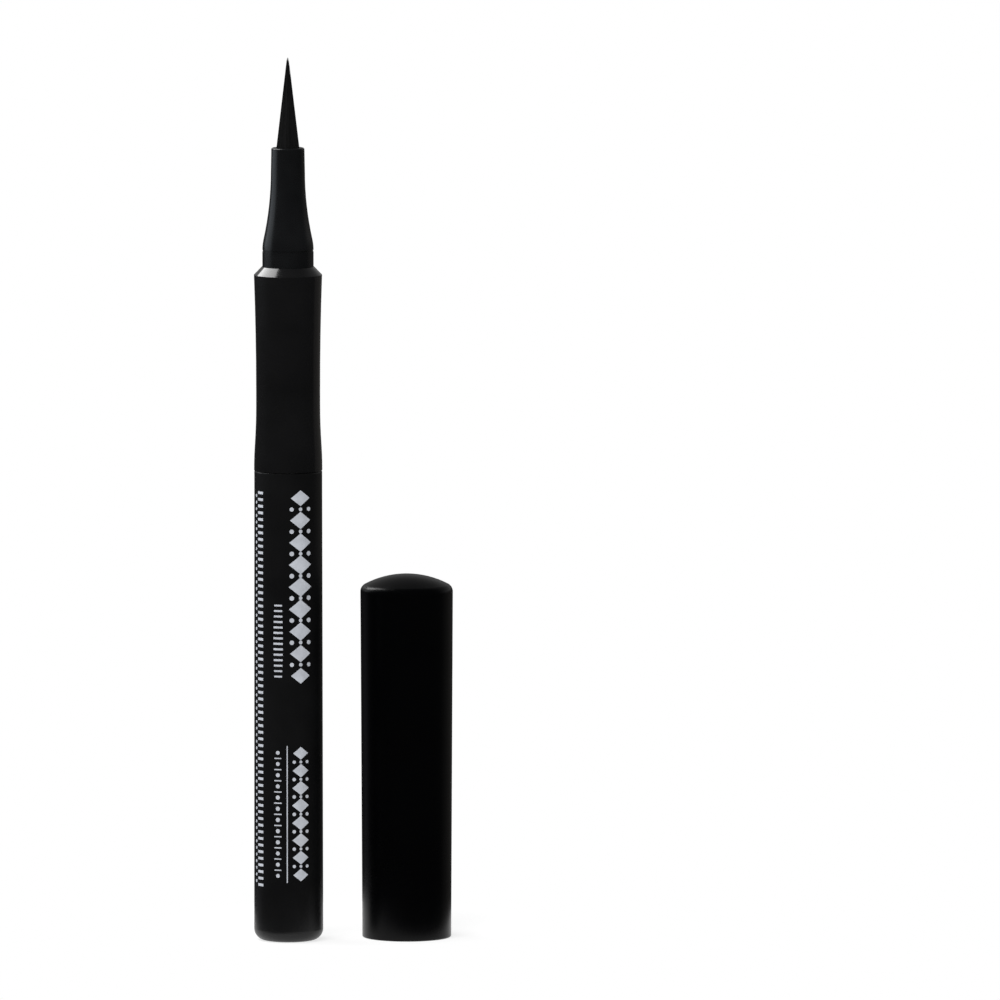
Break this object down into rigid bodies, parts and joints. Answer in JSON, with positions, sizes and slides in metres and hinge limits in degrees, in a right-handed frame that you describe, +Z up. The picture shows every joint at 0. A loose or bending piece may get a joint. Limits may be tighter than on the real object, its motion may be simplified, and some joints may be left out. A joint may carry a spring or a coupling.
{
  "type": "liquid eyeliner pen",
  "caption": "Slim liquid eyeliner pen with a pointed brush, ogee nose, waisted grip and ink tank, standing uncapped beside its domed cap.",
  "frame": {"origin": "centre of the pen's tail face, on the surface it stands on", "axes": "+Z up the pen to the brush's point, +X towards the cap, +Y away from the viewer of the picture"},
  "size_m": [0.0283, 0.0151, 0.126],
  "materials": {
    "body_black": "satin moulded plastic",
    "plug_black": "satin moulded plastic",
    "nose_black": "smooth moulded plastic",
    "brush_black": "inked bristle",
    "cap_black": "smooth moulded plastic",
    "seal_white": "natural moulded plastic",
    "collector_white": "natural moulded plastic",
    "fibre_white": "bonded fibre",
    "print_silver": "hot-stamped foil",
    "ball_steel": "polished ball"
  },
  "bodies": {
    "pen": {"barrel": "body_black", "tail_plug": "plug_black", "grip_section": "body_black", "collector": "collector_white", "feed_rod": "fibre_white", "nose_cone": "nose_black", "nib_retainer": "collector_white", "brush_nib": "brush_black"},
    "ball": {"mixing_ball": "ball_steel"},
    "cap": {"cap_shell": "cap_black", "inner_cap": "seal_white"}
  },
  "joints": [
    {"name": "cap_lift", "type": "slide", "parent": "pen", "child": "cap", "axis": [0, 0, 1], "range_m": [0, 0.046]},
    {"name": "ball_travel", "type": "slide", "parent": "pen", "child": "ball", "axis": [0, 0, 1], "range_m": [0, 0.055]}
  ]
}
